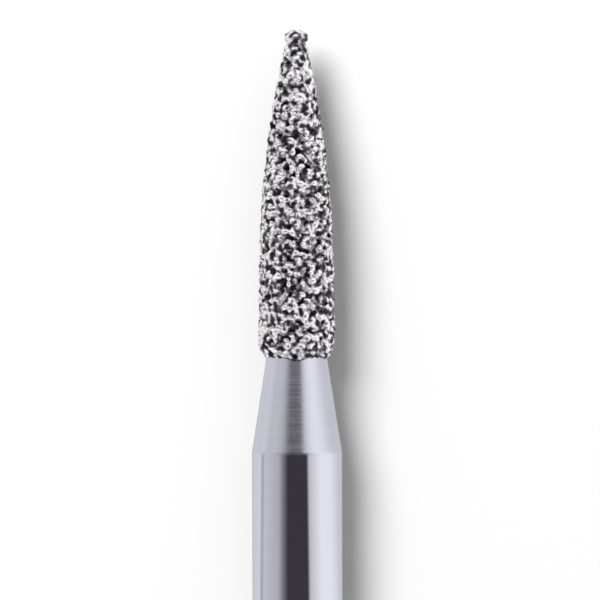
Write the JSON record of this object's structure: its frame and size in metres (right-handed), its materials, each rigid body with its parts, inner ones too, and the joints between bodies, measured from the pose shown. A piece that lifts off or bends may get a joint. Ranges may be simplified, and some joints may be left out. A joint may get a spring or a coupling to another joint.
{
  "type": "dental bur",
  "caption": "Slim flame-shaped grinding head coated in coarse diamond grit, on a conical neck and a plain cylindrical friction-grip shank, turned from one steel bar",
  "frame": {"origin": "Centre of the flat end face of the shank, on the axis", "axes": "+Z runs along the axis from the shank's end to the tip of the head; X and Y are any two directions across the shank"},
  "size_m": [0.0016, 0.0016, 0.019],
  "materials": {
    "ground_steel": "satin",
    "diamond_grit": "matte"
  },
  "bodies": {
    "root": {"steel_blank": "ground_steel", "diamond_coat": "diamond_grit"}
  },
  "joints": []
}
